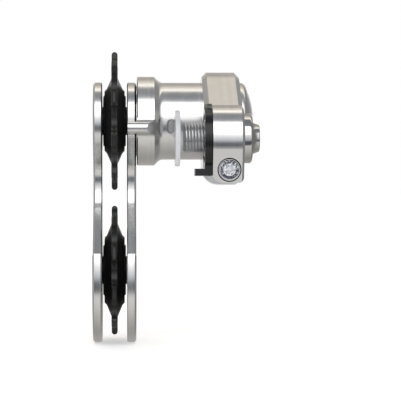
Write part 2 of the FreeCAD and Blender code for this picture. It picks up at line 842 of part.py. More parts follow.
def near_lug():
    """The half of the clamp lug below the boss, with its sloping front face."""
    slit_y = swing_forward - slit_behind_swing_axis - slit_width / 2
    centre = V(0, 0, 0)
    touch = polar(centre, boss_radius, 180 + front_plane_angle)
    bottom_y = front_plane_point(-near_lug_drop)
    corners = [touch, V(0, bottom_y, -near_lug_drop), V(0, slit_y, -near_lug_drop),
               V(0, slit_y, 0), V(0, boss_radius, 0)]
    edges = [line(a, b) for a, b in zip(corners, corners[1:])]
    edges.append(arc(centre, boss_radius, 0, 180 + front_plane_angle))
    front = prism(edges, recess_floor, bracket_outer_face)
    front = front.makeChamfer(front_chamfer, [
        e for e in edges_in_plane(front, bracket_outer_face)
        if e.BoundBox.YMax <= bottom_y + small_edge or e.BoundBox.ZLength > boss_radius
    ])
    rounding = rounded_bar(recess_floor, bracket_outer_face, -near_lug_drop, 2 * boss_radius,
                           near_lug_round, outer_lug_round, -2 * boss_radius, slit_y)
    step = rounded_bar(bracket_inset, bracket_outer_face, -near_lug_drop, 0,
                       far_lug_round, outer_lug_round, recess_tab_reach, slit_y)
    return front.common(rounding).fuse(step)


def far_lug():
    """The half of the clamp lug beyond the slit, which holds the screw's thread."""
    slit_y = swing_forward - slit_behind_swing_axis + slit_width / 2
    return rounded_bar(bracket_inset, bracket_outer_face, -far_lug_drop, 0,
                       far_lug_round, outer_lug_round, slit_y, swing_forward + far_lug_reach)


def clamp_screw_seat():
    """The Y of the seat under the clamp screw's head."""
    return front_plane_point(-clamp_screw_drop) - clamp_head_stand + clamp_head_height


def rod_along_y(radius, y0, y1, x, z):
    return Part.makeCylinder(radius, y1 - y0, V(x, y0, z), V(0, 1, 0))


def bracket():
    slit_y0 = swing_forward - slit_behind_swing_axis - slit_width / 2
    body = link_body().fuse(near_lug()).fuse(far_lug())
    past = bracket_outer_face + cut_past
    cuts = [
        rod(neck_radius + clamp_clearance, 0, past, swing_forward, swing_up),
        rod(bolt_shank_radius + bolt_bore_clearance, 0, past),
        rod(recess_radius, 0, recess_floor),
        block(0, recess_floor, -2 * boss_radius, recess_tab_reach, -2 * boss_radius, 0),
        block(0, past, slit_y0, slit_y0 + slit_width, -2 * boss_radius, 0),
    ]
    seat = clamp_screw_seat()
    x = clamp_screw_x
    z = -clamp_screw_drop
    sink = clamp_head_radius + clamp_head_clearance
    cuts.append(rod_along_y(sink, -2 * boss_radius, seat, x, z))
    cuts.append(rod_along_y(clamp_screw_radius + clamp_hole_clearance, seat, slit_y0, x, z))
    end = swing_forward + far_lug_reach
    cuts.append(rod_along_y(clamp_screw_radius + thread_clearance, slit_y0, end, x, z))
    return body.cut(cuts).removeSplitter()


def clamp_screw():
    """A cheese-head screw along Y with a six-lobe socket."""
    seat = clamp_screw_seat()
    x = clamp_screw_x
    z = -clamp_screw_drop
    end = swing_forward + far_lug_reach - small_edge
    top = seat - clamp_head_height
    head = rod_along_y(clamp_head_radius, top, seat, x, z)
    rim = [e for e in head.Edges if abs(e.BoundBox.YMax - top) < same_place]
    head = head.makeFillet(small_edge, rim)
    screw = head.fuse(rod_along_y(clamp_screw_radius, seat, end, x, z))
    reach = clamp_key_radius - clamp_key_lobe / 2
    key = rod_along_y(reach, top, top + clamp_key_depth, x, z)
    for i in range(clamp_key_lobes):
        a = math.radians(full_turn * i / clamp_key_lobes)
        lobe = rod_along_y(clamp_key_lobe / 2, top, top + clamp_key_depth,
                           x + reach * math.cos(a), z + reach * math.sin(a))
        key = key.fuse(lobe)
    return screw.cut(key)


def save(name, shape, place=V(0, 0, 0)):
    """Write one piece, or a group of like pieces, as a STEP file."""
    solids = shape if isinstance(shape, list) else shape.Solids
    group = solids[0] if len(solids) == 1 else Part.makeCompound(solids)
    group = group.copy()
    group.translate(place)
    group.exportStep("parts/" + name + ".step")
    print(name, len(solids), "solid", round(group.Volume, 1), "mm3", group.isValid())


os.makedirs("parts", exist_ok=True)

save("bracket", bracket())
save("clamp_screw", clamp_screw())
save("mounting_bolt", mounting_bolt())
save("bolt_retaining_ring", bolt_retaining_ring())
save("stop_washer", stop_washer())
save("thread_protector", thread_protector())

save("spring_housing", spring_housing(), swing_place)
save("housing_end_cap", housing_end_cap(), swing_place)
save("inner_pivot_bushing", inner_pivot_bushing(), swing_place)
save("outer_pivot_bushing", outer_pivot_bushing(), swing_place)
save("thrust_washer", thrust_washer(), swing_place)
save("torsion_spring", torsion_spring(), swing_place)
save("spring_driver", spring_driver(), swing_place)
save("pivot_spindle", pivot_spindle(), swing_place)
save("spindle_retaining_ring", spindle_retaining_ring(), swing_place)

save("inner_cage_plate", inner_cage_plate(), swing_place)
save("outer_cage_plate", outer_cage_plate(), swing_place)
save("upper_axle_screw", axle_screw(-plate_face + axle_screw_reach), swing_place)
save("lower_axle_screw", axle_screw(outer_plate_face - small_edge), lower_place)
save("lower_axle_sleeve", lower_axle_sleeve(), lower_place)

save("upper_pulley_wheel", pulley_wheel(upper_tip_radius, upper_cone_radius, upper_hub_radius), swing_place)
save("lower_pulley_wheel", pulley_wheel(lower_tip_radius, lower_cone_radius, lower_hub_radius), lower_place)
for level, place in (("upper", swing_place), ("lower", lower_place)):
    save(level + "_bearing_outer_ring", bearing_outer_ring(), place)
    save(level + "_bearing_inner_ring", bearing_inner_ring(), place)
    save(level + "_bearing_balls", bearing_balls(), place)
    save(level + "_bearing_retainer", bearing_retainer(), place)
    save(level + "_bearing_seals", bearing_seals(), place)
    save(level + "_inner_dust_cap", dust_cap(-1), place)
    save(level + "_outer_dust_cap", dust_cap(1), place)
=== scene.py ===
# %% [markdown]
# # Dressing a bicycle chain tensioner
# This lesson starts from a finished CAD model, which is loaded as a fixed frame, and gives it the look of
# the real thing. The big machined pieces keep their CAD shape and get a finish made of shader nodes. The
# pieces whose fine shape the CAD model leaves out, such as screw threads and moulded teeth, are modelled
# here by hand and take the CAD pieces' places. Blender works in metres, so sizes are written in millimetres
# and multiplied by mm.

import bmesh
import bpy
import json
import math
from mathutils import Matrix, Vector


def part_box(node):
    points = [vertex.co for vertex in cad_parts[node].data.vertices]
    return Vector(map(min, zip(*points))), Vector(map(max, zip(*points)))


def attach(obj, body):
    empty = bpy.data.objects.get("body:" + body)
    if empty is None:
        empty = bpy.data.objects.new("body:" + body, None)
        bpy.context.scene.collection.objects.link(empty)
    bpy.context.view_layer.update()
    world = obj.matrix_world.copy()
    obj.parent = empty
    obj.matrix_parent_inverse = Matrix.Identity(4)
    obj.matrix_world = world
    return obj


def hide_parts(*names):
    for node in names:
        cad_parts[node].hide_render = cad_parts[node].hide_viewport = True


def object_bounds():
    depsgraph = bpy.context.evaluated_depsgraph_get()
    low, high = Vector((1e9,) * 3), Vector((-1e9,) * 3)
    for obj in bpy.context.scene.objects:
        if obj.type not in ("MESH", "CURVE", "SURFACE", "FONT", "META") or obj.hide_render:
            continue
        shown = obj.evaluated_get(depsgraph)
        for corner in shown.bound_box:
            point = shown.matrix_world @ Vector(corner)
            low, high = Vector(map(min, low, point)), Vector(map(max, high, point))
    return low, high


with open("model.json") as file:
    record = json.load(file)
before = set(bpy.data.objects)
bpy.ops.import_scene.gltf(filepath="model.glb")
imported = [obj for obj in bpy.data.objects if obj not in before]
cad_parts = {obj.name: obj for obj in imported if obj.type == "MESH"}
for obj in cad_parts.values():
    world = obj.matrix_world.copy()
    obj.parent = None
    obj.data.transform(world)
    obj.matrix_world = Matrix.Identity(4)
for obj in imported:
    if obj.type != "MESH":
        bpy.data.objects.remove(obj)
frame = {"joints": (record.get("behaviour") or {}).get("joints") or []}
cad_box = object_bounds()
places = {joint["name"]: Vector(joint["pos_m"]) for joint in frame["joints"] if "pos_m" in joint}
mm = 0.001

# %% [markdown]
# ## The camera
# The photograph looks at the tensioner from the rear of the bicycle, nearly level, with a long lens. The
# camera was placed by fitting some forty corners of the CAD model to the places where the picture shows
# them. It is turned towards the object instead of shifting its lens, so the same lens also suits a view
# from any other side.

# %% Place the camera
camera_data = bpy.data.cameras.new("studio_camera")
camera_data.sensor_width = 36
camera_data.lens = 150.16
camera_data.clip_end = 20
camera = bpy.data.objects.new("studio_camera", camera_data)
bpy.context.scene.collection.objects.link(camera)
camera.location = (-25.09 * mm, -542.94 * mm, -14.14 * mm)
camera.rotation_euler = (math.radians(90 - 0.622), 0, math.radians(-2.522))
bpy.context.scene.camera = camera
print("camera at", [round(c / mm) for c in camera.location], "mm")

# %% [markdown]
# ## Working by hand from a script
# Blender's operators act on whatever is selected, and a freshly loaded model is selected all over. These
# helpers clear the selection, make one piece active, and pick out faces or edges by their place, so that
# each following step reads like the clicks that somebody would make in the viewport.

# %% Helpers for selecting
def activate(piece):
    """Make one piece the only selected one, and the active one."""
    bpy.ops.object.select_all(action="DESELECT")
    piece.select_set(True)
    bpy.context.view_layer.objects.active = piece


def edit(piece):
    """Open a piece in edit mode, where vertices are selected, with nothing selected."""
    activate(piece)
    bpy.ops.object.mode_set(mode="EDIT")
    bpy.ops.mesh.select_mode(type="VERT")
    bpy.ops.mesh.select_all(action="DESELECT")


def close_edit():
    bpy.ops.object.mode_set(mode="OBJECT")


def pick_faces(piece, wanted):
    """Select the faces of the piece in edit mode for which wanted(centre, normal) is true."""
    bpy.ops.mesh.select_mode(type="FACE")
    shape = bmesh.from_edit_mesh(piece.data)
    for face in shape.faces:
        face.select_set(bool(wanted(face.calc_center_median(), face.normal)))
    bmesh.update_edit_mesh(piece.data)


def pick_edges(piece, wanted):
    """Select the edges of the piece in edit mode for which wanted(edge) is true."""
    bpy.ops.mesh.select_mode(type="EDGE")
    shape = bmesh.from_edit_mesh(piece.data)
    for edge in shape.edges:
        edge.select_set(bool(wanted(edge)))
    bmesh.update_edit_mesh(piece.data)


# %% [markdown]
# Most pieces made here are turned on a lathe, and a script can work in the same way. One vertex is extruded
# from point to point to draw half of an outline, and the spin operator sweeps that line round the X axis.
# The sweep ends where it began, so doubles are merged after it and the faces are turned outwards.

# %% Helpers for turned pieces
def trace(name, points):
    """Draw a line of (x, radius) points in millimetres: one vertex, extruded from point to point."""
    bpy.ops.object.select_all(action="DESELECT")
    bpy.ops.mesh.primitive_plane_add(size=mm)
    piece = bpy.context.object
    piece.name = name
    bpy.ops.object.mode_set(mode="EDIT")
    bpy.ops.mesh.select_mode(type="VERT")
    bpy.ops.mesh.select_all(action="SELECT")
    bpy.ops.mesh.merge(type="CENTER")
    here = Vector((0, 0, 0))
    for index, (x, radius) in enumerate(points):
        there = Vector((x * mm, radius * mm, 0))
        if index == 0:
            bpy.ops.transform.translate(value=there - here)
        else:
            bpy.ops.mesh.extrude_vertices_move(TRANSFORM_OT_translate={"value": there - here})
        here = there
    close_edit()
    return piece


def tidy_mesh(piece, gap=0.001):
    """Join vertices that lie in one place and turn every face outwards."""
    edit(piece)
    bpy.ops.mesh.select_all(action="SELECT")
    bpy.ops.mesh.remove_doubles(threshold=gap * mm)
    bpy.ops.mesh.dissolve_degenerate(threshold=gap * mm)
    bpy.ops.mesh.normals_make_consistent(inside=False)
    close_edit()
    piece.data.validate()


def turn(name, points, steps=96):
    """Turn a traced outline about the X axis, as a lathe does."""
    piece = trace(name, points)
    edit(piece)
    bpy.ops.mesh.select_all(action="SELECT")
    bpy.ops.mesh.spin(steps=steps, angle=math.tau, center=(0, 0, 0), axis=(1, 0, 0))
    close_edit()
    tidy_mesh(piece)
    return piece


def rounded(centre_x, centre_radius, size, start, end, steps=6):
    """Points of a rounding in a turned outline, the angle counted from +X towards the outside."""
    points = []
    for i in range(steps + 1):
        a = math.radians(start + (end - start) * i / steps)
        points.append((centre_x + size * math.cos(a), centre_radius + size * math.sin(a)))
    return points


def round_bar(name, radius, x0, x1, sides=48, y=0.0, z=0.0):
    """A cylinder primitive along X, from x0 to x1, in millimetres."""
    bpy.ops.object.select_all(action="DESELECT")
    bpy.ops.mesh.primitive_cylinder_add(
        vertices=sides, radius=radius * mm, depth=(x1 - x0) * mm,
        location=((x0 + x1) / 2 * mm, y * mm, z * mm), rotation=(0, math.radians(90), 0))
    piece = bpy.context.object
    piece.name = name
    bpy.ops.object.transform_apply(location=True, rotation=True, scale=True)
    return piece


# %% [markdown]
# Sockets, teeth and joined shanks come from the Boolean modifier, which is applied at once. A finished piece
# keeps its place in its mesh while its object stays at the origin, as a CAD node's does. The last helper
# smooths the piece, puts it on the body that it moves with, and gives it a CAD node's place.

# %% Helpers for modifiers, cuts and placing
def modify(piece, kind, **settings):
    """Add a modifier, set it and apply it."""
    activate(piece)
    modifier = piece.modifiers.new(kind.lower(), kind)
    for key, value in settings.items():
        setattr(modifier, key, value)
    bpy.ops.object.modifier_apply(modifier=modifier.name)


def combine(piece, tool, how):
    """Cut a tool out of a piece (DIFFERENCE), join them (UNION) or keep what they share (INTERSECT)."""
    modify(piece, "BOOLEAN", object=tool, operation=how, solver="EXACT")
    bpy.data.objects.remove(tool)


def put(piece, place, axis="Z", degrees=0):
    """Turn a piece about an axis, move it, and apply both, so that its object stays at the origin."""
    activate(piece)
    piece.rotation_euler["XYZ".index(axis)] = math.radians(degrees)
    piece.location = place
    bpy.ops.object.transform_apply(location=True, rotation=True, scale=True)


def copy_of(piece):
    """A copy with a mesh of its own."""
    twin = piece.copy()
    twin.data = piece.data.copy()
    bpy.context.scene.collection.objects.link(twin)
    return twin


def join_all(pieces):
    """Join pieces into the first one."""
    activate(pieces[0])
    for piece in pieces:
        piece.select_set(True)
    bpy.ops.object.join()
    return pieces[0]


def hand_over(piece, body, node, angle=30):
    """Smooth a finished piece, put it on its body in a CAD node's place, and say how big it is."""
    tidy_mesh(piece)
    activate(piece)
    bpy.ops.object.shade_smooth_by_angle(angle=math.radians(angle))
    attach(piece, body)
    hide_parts(node)
    triangles = sum(len(p.vertices) - 2 for p in piece.data.polygons)
    print(piece.name, "has", triangles, "triangles and measures",
          [round(s / mm, 2) for s in piece.dimensions], "mm")


# %% [markdown]
# ## Screw threads
# A thread could be painted on with a bump map, but here it shows through a clear plastic cap, so it is real.
# One tooth of the thread is traced and the Screw modifier winds it along the bar. The ends of the winding
# are closed with cones, and keeping only what it shares with a plain turned blank gives the chamfered first
# turn that a die leaves. All screws here are modelled along the X axis with the head towards +X.

# %% Wind a thread
valley_share = 0.12
crest_share = 0.3


def threaded_bar(name, length, radius, root, pitch, chamfer, steps=64):
    """A threaded bar from x = -length to x = 0, in millimetres, with a chamfered end."""
    past = 2 * pitch
    start = -length - past
    valley = pitch * valley_share
    crest = pitch * crest_share
    flank = (pitch - valley - crest) / 2
    bar = trace(name, [
        (start, root), (start + valley, root), (start + valley + flank, radius),
        (start + valley + flank + crest, radius), (start + pitch, root),
    ])
    turns = math.ceil((length + 2 * past) / pitch)
    modify(bar, "SCREW", axis="X", angle=math.tau, screw_offset=pitch * mm, iterations=turns,
           steps=steps, render_steps=steps, use_merge_vertices=True, merge_threshold=0.001 * mm)
    tidy_mesh(bar)
    middle = (start + turns * pitch / 2) * mm
    for side in (-1, 1):
        edit(bar)
        pick_edges(bar, lambda e: e.is_boundary and (e.verts[0].co.x - middle) * side > 0)
        bpy.ops.mesh.extrude_edges_move(TRANSFORM_OT_translate={"value": (side * past * mm, 0, 0)})
        bpy.ops.mesh.merge(type="CENTER")
        close_edit()
    tidy_mesh(bar)
    outside = radius + 0.01
    blank = turn("blank", [(-length, 0), (-length, radius - chamfer), (-length + chamfer, outside),
                           (0, outside), (0, 0)], steps)
    combine(bar, blank, "INTERSECT")
    return bar


def cut_hexagon(piece, end, across, depth):
    """Cut a hexagon socket into a head that ends at x = end, with a small countersink at its mouth."""
    corner = across / 2 / math.cos(math.pi / 6)
    mouth_depth = 0.35
    mouth_past = 0.5
    combine(piece, round_bar("socket", corner, end - depth, end + 1, sides=6), "DIFFERENCE")
    mouth = turn("mouth", [(end - mouth_depth, 0), (end - mouth_depth, across / 2 - 0.1),
                           (end + mouth_past, corner + 0.6), (end + mouth_past, 0)], 48)
    combine(piece, mouth, "DIFFERENCE")


# %% [markdown]
# ## The hanger bolt
# The bolt is turned from bar: a thread that screws into the frame's hanger, a smooth shank that carries the
# bracket, a groove for the snap ring, a rounded flange, and a tapered head with a hexagon socket.

# %% Turn the bolt
thread_radius = 4.94
thread_root = 4.36
thread_length = 6.9
thread_pitch = 1.0
thread_chamfer = 0.75
core_radius = thread_root - 0.1
core_overlap = 0.3
shank_radius = 6.0
groove_radius = 5.4
groove_from, groove_to = 0.35, 1.45
flange_from, flange_to = 12.65, 15.5
flange_radius = 8.1
flange_break = 0.15
flange_round = 1.0
head_radius = 5.15
head_end_radius = 4.45
head_end = 17.9
head_foot = 0.25
head_round = 0.4
edge_break = 0.3
socket_across, socket_depth = 5.0, 4.6

hanger_bolt = threaded_bar("hanger_bolt", thread_length, thread_radius, thread_root, thread_pitch,
                           thread_chamfer)
shank = turn("shank", [
    (-core_overlap, 0), (-core_overlap, core_radius), (0, core_radius), (0, shank_radius - edge_break),
    (edge_break, shank_radius), (groove_from, shank_radius), (groove_from, groove_radius),
    (groove_to, groove_radius), (groove_to, shank_radius), (flange_from, shank_radius),
    (flange_from, flange_radius - flange_break), (flange_from + flange_break, flange_radius),
] + rounded(flange_to - flange_round, flange_radius - flange_round, flange_round, 90, 0) + [
    (flange_to, head_radius + head_foot), (flange_to + head_foot, head_radius),
] + rounded(head_end - head_round, head_end_radius - head_round, head_round, 80, 0) + [(head_end, 0)])
combine(hanger_bolt, shank, "UNION")
cut_hexagon(hanger_bolt, head_end, socket_across, socket_depth)
hand_over(hanger_bolt, "bolt", "mounting_bolt")

# %% [markdown]
# ## The transit cap
# A soft plastic cap protects the thread until the tensioner is fitted. It is moulded, so its edges are
# rounded, and its closed end is a wider disc to pull on, with a shallow hollow in its middle. It is turned
# from one outline, then a bevel rounds its edges. The clear material later lets the thread shine through.

# %% Turn the cap
disc_end = -9.5
disc_radius = 9.1
disc_width = 1.6
sleeve_radius = 6.0
sleeve_bore = 5.0
bore_end = -7.2
sleeve_mouth = -0.1
sleeve_foot = 0.35
transit_cap = turn("transit_cap", [
    (disc_end + 0.5, 0), (disc_end + 0.5, 3.4), (disc_end, 4.1), (disc_end, disc_radius),
    (disc_end + disc_width, disc_radius), (disc_end + disc_width, sleeve_radius + sleeve_foot),
    (disc_end + disc_width + sleeve_foot, sleeve_radius), (sleeve_mouth, sleeve_radius),
    (sleeve_mouth, sleeve_bore), (bore_end, sleeve_bore), (bore_end, 0),
])
modify(transit_cap, "BEVEL", width=0.3 * mm, segments=3, limit_method="ANGLE", angle_limit=math.radians(50))
hand_over(transit_cap, "bolt", "thread_protector", 40)

# %% [markdown]
# ## The clamp screw
# The screw across the slit is cold-formed: a cheese head with a fine knurl on its side, a rounded rim and a
# six-lobe socket. The knurl is made by pulling in every second side face of a many-sided cylinder. The
# socket's lobes are what six round bars leave of a seventh. The finished screw is turned to face the
# camera and moved to its seat in the lug.

# %% Shape the clamp screw
clamp_low, clamp_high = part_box("clamp_screw")
clamp_head_radius = 3.45
clamp_head_height = 4.0
clamp_rim = 0.5
clamp_thread = 14.0
clamp_radius = 1.98
clamp_root = 1.58
clamp_pitch = 0.7
clamp_chamfer = 0.5
knurl_sides = 72
knurl_gap = 0.04
knurl_depth = 0.14
lobe_reach = 1.95
lobe_depth = 2.0
lobe_hollow = 0.62
lobe_hollow_place = 2.1
clamp_shank = (clamp_high.y - clamp_low.y) / mm - clamp_head_height

clamp_head = round_bar("clamp_head", clamp_head_radius, 0, clamp_head_height - clamp_rim, sides=knurl_sides)
edit(clamp_head)
pick_faces(clamp_head, lambda c, n: abs(n.x) < 0.5 and
           round(math.atan2(c.z, c.y) / math.tau * knurl_sides - 0.5) % 2)
bpy.ops.mesh.inset(thickness=knurl_gap * mm, use_individual=True)
bpy.ops.transform.shrink_fatten(value=-knurl_depth * mm)
close_edit()
rim_radius = clamp_head_radius - knurl_depth
rim = turn("rim", [
    (clamp_head_height - clamp_rim - 0.2, 0), (clamp_head_height - clamp_rim - 0.2, rim_radius),
] + rounded(clamp_head_height - clamp_rim, rim_radius - clamp_rim, clamp_rim, 90, 0) + [
    (clamp_head_height, 0)], 72)
combine(clamp_head, rim, "UNION")
lobed = round_bar("lobed", lobe_reach, clamp_head_height - lobe_depth, clamp_head_height + 1, sides=72)
for i in range(6):
    a = math.tau * (i + 0.5) / 6
    hollow = round_bar("hollow", lobe_hollow, 1, clamp_head_height + 2, sides=24,
                       y=lobe_hollow_place * math.cos(a), z=lobe_hollow_place * math.sin(a))
    combine(lobed, hollow, "DIFFERENCE")
combine(clamp_head, lobed, "DIFFERENCE")

# %% Join its head, shank and thread
lug_screw = threaded_bar("lug_screw", clamp_thread, clamp_radius, clamp_root, clamp_pitch, clamp_chamfer, 48)
put(lug_screw, ((clamp_thread - clamp_shank) * mm, 0, 0))
combine(lug_screw, round_bar("plain", clamp_radius - 0.02, clamp_thread - clamp_shank - 0.2, 0.2), "UNION")
combine(lug_screw, clamp_head, "UNION")
put(lug_screw, ((clamp_low.x + clamp_high.x) / 2, clamp_low.y + clamp_head_height * mm,
                (clamp_low.z + clamp_high.z) / 2), "Z", -90)
hand_over(lug_screw, "bracket", "clamp_screw")

# %% [markdown]
# ## The axle screws
# Two countersunk screws hold the cage together from its inner side. The upper one ends inside the spindle.
# The end of the lower one shows in the outer plate. Both are the same shape, so one function makes them.
# Their threads are hidden in tapped holes, so plain rings in the turned outline are enough for them.

# %% Shape the axle screws
def axle_screw(name, node):
    """A countersunk screw in a CAD screw's place, as long as that one."""
    low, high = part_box(node)
    length = (high.x - low.x) / mm
    radius = 2.48
    root = 2.02
    chamfer = 0.55
    pitch = 0.8
    rings = 5
    head = 4.8
    edge = head - 0.3
    edge_round = 0.12
    outline = [(-length, 0), (-length, root - 0.1), (chamfer - length, radius)]
    for ring in range(1, rings + 1):
        x = ring * pitch + 0.1 - length
        outline += [(x, radius), (x + 0.3, root), (x + 0.4, root), (x + 0.6, radius)]
    outline += [(radius - head, radius), (-0.3, edge)]
    screw = turn(name, outline + rounded(-edge_round, edge, edge_round, 90, 0, 3) + [(0, 0)], 72)
    cut_hexagon(screw, 0, 3.0, 2.2)
    put(screw, (low.x, (low.y + high.y) / 2, (low.z + high.z) / 2), "Z", 180)
    return screw


for level in ("upper", "lower"):
    hand_over(axle_screw(level + "_plate_screw", level + "_axle_screw"), "cage", level + "_axle_screw")

# %% [markdown]
# ## The toothed wheels
# The pulleys are moulded in black plastic: a hub with a coned flank, and ten teeth shaped by the rollers of
# the chain. A blank is turned first. Then one roller with a flared mouth is modelled, copied round the wheel
# and cut out ten times. A bevel rounds the edges, as in a mould, and five small marks are left where the
# ejector pins pushed the wheel out.

# %% One chain roller with its way out
teeth = 10
chain_pitch = 12.7
pitch_radius = chain_pitch / 2 / math.sin(math.pi / teeth)
seat_radius = 4.1
tooth_thickness = 2.0
tip_width = 2.4


def roller_cutter(tip):
    """A roller's round, drawn out to a mouth that leaves tips of one width beyond the tip radius."""
    outer = tip + tip_width
    flank = outer * math.tan(math.pi / teeth) - tip_width / 2
    cutter = round_bar("cutter", seat_radius, -tooth_thickness, tooth_thickness, sides=64, y=pitch_radius)
    edit(cutter)
    pick_faces(cutter, lambda c, n: abs(n.x) < 0.5 and n.y > 0.01)
    bpy.ops.mesh.extrude_region_move(TRANSFORM_OT_translate={"value": (0, 0, 0)})
    bpy.ops.transform.resize(value=(1, 0, flank / seat_radius), center_override=(0, outer * mm, 0))
    close_edit()
    tidy_mesh(cutter)
    return cutter


# %% Turn, cut and round each wheel
bearing_seat = 8.02
half_bearing = 2.5
cap_seat = 8.8
seat_break = 0.2
half_hub = 3.4
hub_break = 0.25
mould_round = 0.2
pin_count = 5
pin_radius = 0.7
pin_depth = 0.08
pin_place = 1.1


def tooth_wheel(name, tip, cone, hub):
    """A wheel with the radius of its tips, of its flank's outer edge and of its hub, in millimetres."""
    half_tooth = tooth_thickness / 2
    side = [
        (half_bearing, bearing_seat), (half_bearing, cap_seat), (half_hub - seat_break, cap_seat),
        (half_hub, cap_seat + seat_break), (half_hub, hub - hub_break), (half_hub - hub_break, hub),
        (half_hub - 0.75, hub + 0.52), (half_tooth + hub_break, cone - 0.4), (half_tooth, cone + hub_break),
    ]
    tip_round = rounded(0, tip - half_tooth, half_tooth, 0, 180, 10)
    outline = side + tip_round + [(-x, r) for x, r in reversed(side)]
    wheel = turn(name, outline + outline[:1], 120)
    cutter = roller_cutter(tip)
    cutters = [copy_of(cutter) for _ in range(teeth)]
    bpy.data.objects.remove(cutter)
    for i, copy in enumerate(cutters):
        put(copy, (0, 0, 0), "X", 90 + (i + 0.5) * 360 / teeth)
    combine(wheel, join_all(cutters), "DIFFERENCE")
    modify(wheel, "BEVEL", width=mould_round * mm, segments=2, limit_method="ANGLE",
           angle_limit=math.radians(40))
    tidy_mesh(wheel, 0.02)
    pins = []
    for i in range(pin_count):
        a = math.radians(90 + i * 360 / pin_count)
        y = (cone + pin_place) * math.cos(a)
        z = (cone + pin_place) * math.sin(a)
        pins.append(round_bar("pin", pin_radius, half_tooth - pin_depth, half_tooth + 1, sides=32, y=y, z=z))
    combine(wheel, join_all(pins), "DIFFERENCE")
    return wheel


for level, tip, cone, hub in (("upper", 23.3, 14.4, 10.35), ("lower", 21.8, 15.7, 11.3)):
    wheel = tooth_wheel(level + "_tooth_wheel", tip, cone, hub)
    put(wheel, places[level + "_pulley_spin"])
    hand_over(wheel, level + "_pulley", level + "_pulley_wheel")

# %% [markdown]
# ## Finishes
# Every finish is a Principled shader with some texture nodes that change its roughness, its colour and the
# small bumps on its surface. The nodes read Object coordinates, which are metres from the origin of the
# model, so a scale of 2000 makes details of about half a millimetre. These helpers add a node and plug it in.

# %% Helpers for materials
def new_finish(name, colour, metallic, roughness, **sockets):
    material = bpy.data.materials.new(name)
    material.use_nodes = True
    shader = material.node_tree.nodes["Principled BSDF"]
    values = {"Base Color": (*colour, 1), "Metallic": metallic, "Roughness": roughness}
    values.update({key.replace("_", " "): value for key, value in sockets.items()})
    for key, value in values.items():
        shader.inputs[key].default_value = value
    return material


def add(material, kind, inputs=None, **settings):
    """Add a node to a material. Inputs are values or other nodes' outputs. Returns its first output."""
    made = material.node_tree.nodes.new("ShaderNode" + kind)
    for key, value in settings.items():
        setattr(made, key, value)
    for key, value in (inputs or {}).items():
        if isinstance(value, bpy.types.NodeSocket):
            material.node_tree.links.new(value, made.inputs[key])
        else:
            made.inputs[key].default_value = value
    return made.outputs[0]


def plug(material, name, output):
    shader = material.node_tree.nodes["Principled BSDF"]
    material.node_tree.links.new(output, shader.inputs[name])


def object_place(material, centre=(0, 0, 0)):
    """Object coordinates counted from a centre."""
    coordinates = material.node_tree.nodes.new("ShaderNodeTexCoord").outputs["Object"]
    return add(material, "VectorMath", {0: coordinates, 1: centre}, operation="SUBTRACT")


def noise(material, place, stretch, detail=3.0, rough=0.6):
    """Noise whose details are 1 / stretch metres long in each direction."""
    stretched = add(material, "VectorMath", {0: place, 1: stretch}, operation="MULTIPLY")
    return add(material, "TexNoise", {"Vector": stretched, "Scale": 1.0, "Detail": detail,
                                      "Roughness": rough})


def spread(material, value, low, high):
    """Map a noise value between a quarter and three quarters to the range low to high."""
    return add(material, "MapRange", {"Value": value, "From Min": 0.25, "From Max": 0.75,
                                      "To Min": low, "To Max": high})


def mix(material, share, one, other):
    """Mix two colours by a share. Each colour is three numbers or another node's output."""
    made = material.node_tree.nodes.new("ShaderNodeMix")
    made.data_type = "RGBA"
    material.node_tree.links.new(share, made.inputs["Factor"])
    for key, colour in ((6, one), (7, other)):
        if isinstance(colour, bpy.types.NodeSocket):
            material.node_tree.links.new(colour, made.inputs[key])
        else:
            made.inputs[key].default_value = (*colour, 1)
    return made.outputs[2]


def bump(material, height, depth):
    """Turn a height of 0 to 1 into bumps of that depth in metres."""
    return add(material, "Bump", {"Height": height, "Distance": depth, "Strength": 1.0})


def wear_and_colour(material, cloud, lines, colour, roughness):
    """Let the cutter's lines and a broad cloud change a metal's gloss and colour a little."""
    cloud_and_lines = add(material, "Math", {0: cloud, 1: lines}, operation="ADD")
    wear = add(material, "Math", {0: cloud_and_lines, 1: 0.5}, operation="MULTIPLY")
    plug(material, "Roughness", spread(material, wear, roughness * 0.75, roughness * 1.3))
    dull = tuple(c * 0.86 for c in colour)
    plug(material, "Base Color", mix(material, spread(material, wear, 0, 1), dull, colour))


# %% [markdown]
# ## Turned metal
# A lathe leaves fine rings round the axis: lines along a cylinder's girth and circles on its end faces. The
# pattern is made from two numbers only, the place along the axis and the distance from it, so it runs round
# every turned face by itself. A broad cloud of noise makes the gloss and the colour a little uneven.

# %% Turned finishes
def turned_metal(name, centre, colour, roughness, depth=7e-6):
    """Bare metal with rings round a line through the centre, along X."""
    material = new_finish(name, colour, 1.0, roughness)
    place = object_place(material, centre)
    split = material.node_tree.nodes.new("ShaderNodeSeparateXYZ")
    material.node_tree.links.new(place, split.inputs[0])
    y, z = split.outputs[1], split.outputs[2]
    y2 = add(material, "Math", {0: y, 1: y}, operation="MULTIPLY")
    squares = add(material, "Math", {0: z, 1: z, 2: y2}, operation="MULTIPLY_ADD")
    radius = add(material, "Math", {0: squares, 1: 0.5}, operation="POWER")
    rings = add(material, "CombineXYZ", {0: split.outputs[0], 1: radius})
    fine = noise(material, rings, (5200, 5200, 1), 2.0)
    coarse = noise(material, rings, (1300, 1300, 1), 2.0)
    cloud = noise(material, place, (160, 160, 160), 4.0)
    lines = add(material, "Math", {0: fine, 1: coarse}, operation="ADD")
    plug(material, "Normal", bump(material, lines, depth))
    wear_and_colour(material, cloud, coarse, colour, roughness)
    return material


